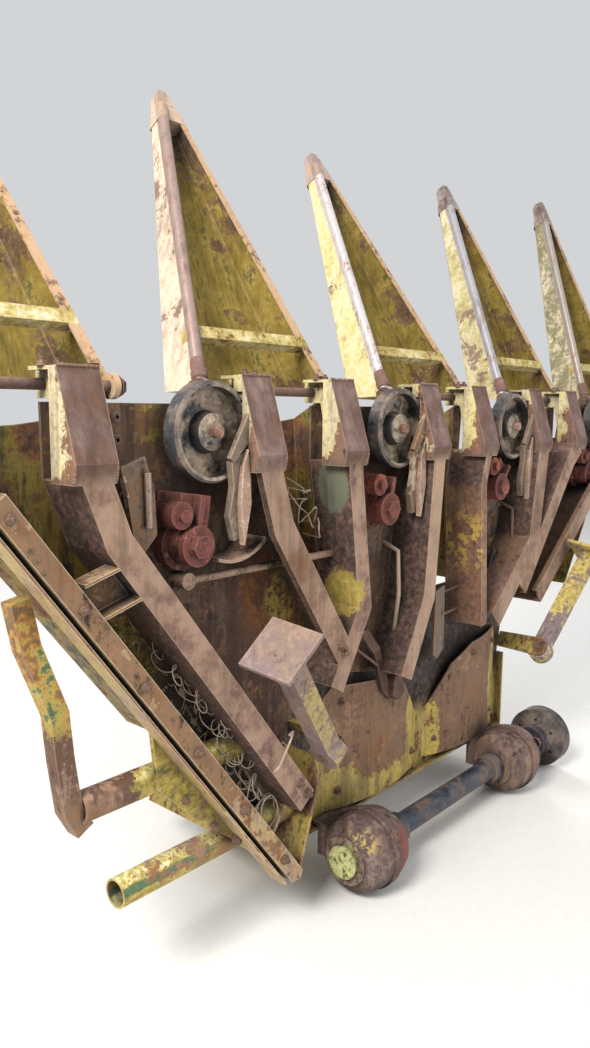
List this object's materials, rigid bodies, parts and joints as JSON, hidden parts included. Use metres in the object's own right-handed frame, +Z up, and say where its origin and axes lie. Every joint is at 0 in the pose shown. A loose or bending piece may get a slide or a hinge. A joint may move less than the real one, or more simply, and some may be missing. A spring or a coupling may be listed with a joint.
{
  "type": "forage harvester row-crop header",
  "caption": "Detached row-crop header of a forage harvester, stored standing on its rear frame, with fold-up snouts, row drums and a cross drive.",
  "frame": {"origin": "middle of the header on its rear face, in the plane of the decks' undersides", "axes": "+X across the header to its coupling disc, +Y towards the hooded working side, +Z up, which is forwards in work"},
  "size_m": [3.567, 0.9131, 2.3822],
  "materials": {
    "faded_paint": "faded yellow paint with moss and bare edges",
    "rusty_paint": "brown rust with remains of yellow paint",
    "rusty_casting": "red-brown rusty castings",
    "dark_steel": "dark weathered steel",
    "worn_frame_paint": "worn yellow paint, rust at edges"
  },
  "bodies": {
    "frame": {"rear_frame": "worn_frame_paint", "throat_duct": "worn_frame_paint", "hitch_plates": "worn_frame_paint", "pan_left": "rusty_paint", "pan_right": "rusty_paint", "side_beam": "worn_frame_paint", "outrigger": "worn_frame_paint", "arms_0": "rusty_paint", "arms_1": "rusty_paint", "arms_2": "rusty_paint", "arms_3": "rusty_paint", "arms_4": "rusty_paint", "deck_1": "rusty_paint", "deck_2": "rusty_paint", "deck_3": "rusty_paint", "deck_4": "rusty_paint", "row_casting_1": "rusty_casting", "row_casting_2": "rusty_casting", "row_casting_3": "rusty_casting", "row_casting_4": "rusty_casting", "tie_rod": "worn_frame_paint", "hood_0": "faded_paint", "hood_1": "faded_paint", "hood_2": "faded_paint", "hood_3": "faded_paint", "hood_4": "faded_paint", "gearbox_left": "rusty_casting", "gearbox_right": "rusty_casting"},
    "drum_1": {"drum_1": "dark_steel"},
    "drum_2": {"drum_2": "dark_steel"},
    "drum_3": {"drum_3": "dark_steel"},
    "drum_4": {"drum_4": "dark_steel"},
    "snout_0": {"snout_0": "faded_paint"},
    "snout_1": {"snout_1": "faded_paint"},
    "snout_2": {"snout_2": "faded_paint"},
    "snout_3": {"snout_3": "faded_paint"},
    "snout_4": {"snout_4": "faded_paint"},
    "cross_shaft": {"cross_shaft": "dark_steel"},
    "stand_left": {"stand_left": "worn_frame_paint"},
    "stand_right": {"stand_right": "worn_frame_paint"}
  },
  "joints": [
    {"name": "snout_0_hinge", "type": "hinge", "parent": "frame", "child": "snout_0", "pos_m": [-1.52, 0, 1.29], "axis": [1, 0, 0], "range_deg": [0, 30]},
    {"name": "snout_1_hinge", "type": "hinge", "parent": "frame", "child": "snout_1", "pos_m": [-0.76, 0, 1.29], "axis": [1, 0, 0], "range_deg": [0, 30]},
    {"name": "snout_2_hinge", "type": "hinge", "parent": "frame", "child": "snout_2", "pos_m": [0, 0, 1.29], "axis": [1, 0, 0], "range_deg": [0, 30]},
    {"name": "snout_3_hinge", "type": "hinge", "parent": "frame", "child": "snout_3", "pos_m": [0.76, 0, 1.29], "axis": [1, 0, 0], "range_deg": [0, 30]},
    {"name": "snout_4_hinge", "type": "hinge", "parent": "frame", "child": "snout_4", "pos_m": [1.52, 0, 1.29], "axis": [1, 0, 0], "range_deg": [0, 30]},
    {"name": "drum_1_spin", "type": "hinge", "parent": "frame", "child": "drum_1", "pos_m": [-1.041, -0.068, 1.19], "axis": [0, 1, 0], "continuous": true},
    {"name": "drum_2_spin", "type": "hinge", "parent": "frame", "child": "drum_2", "pos_m": [-0.277, -0.068, 1.19], "axis": [0, 1, 0], "continuous": true},
    {"name": "drum_3_spin", "type": "hinge", "parent": "frame", "child": "drum_3", "pos_m": [0.454, -0.068, 1.19], "axis": [0, 1, 0], "continuous": true},
    {"name": "drum_4_spin", "type": "hinge", "parent": "frame", "child": "drum_4", "pos_m": [1.279, -0.068, 1.19], "axis": [0, 1, 0], "continuous": true},
    {"name": "cross_shaft_spin", "type": "hinge", "parent": "frame", "child": "cross_shaft", "pos_m": [0, -0.15, -0.035], "axis": [1, 0, 0], "continuous": true},
    {"name": "stand_left_hinge", "type": "hinge", "parent": "frame", "child": "stand_left", "pos_m": [-0.7, -0.158, 0.33], "axis": [0.7955, 0, 0.606], "range_deg": [0, 81]},
    {"name": "stand_right_hinge", "type": "hinge", "parent": "frame", "child": "stand_right", "pos_m": [0.59, -0.158, 0.33], "axis": [0.7955, 0, -0.606], "range_deg": [0, 81]}
  ]
}
